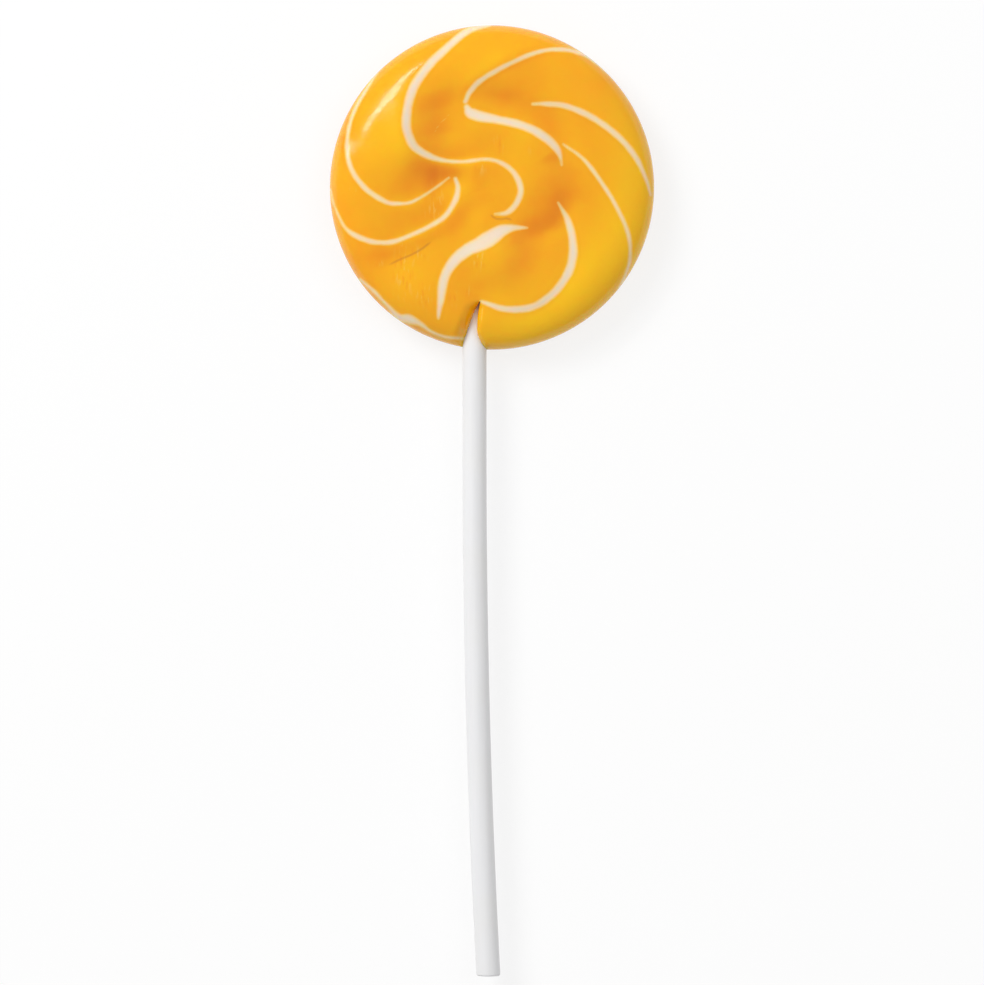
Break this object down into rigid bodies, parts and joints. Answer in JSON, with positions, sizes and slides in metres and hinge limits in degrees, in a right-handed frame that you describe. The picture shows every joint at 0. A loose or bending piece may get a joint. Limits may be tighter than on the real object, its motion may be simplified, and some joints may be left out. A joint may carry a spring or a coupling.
{
  "type": "swirl lollipop",
  "caption": "Swirl lollipop lying on its flat back: a pressed disc of twisted orange boiled sugar with creamy stripes, on a slim, slightly bowed white stick.",
  "frame": {"origin": "centre of the disc's flat back, on the surface that it lies on", "axes": "+Z out of the swirled face, +Y from the centre away from the stick, so the stick runs along -Y"},
  "size_m": [0.065, 0.1904, 0.0134],
  "materials": {
    "sugar": null,
    "stick": "satin white plastic"
  },
  "bodies": {
    "root": {"candy": "sugar", "stick": "stick"}
  },
  "joints": []
}
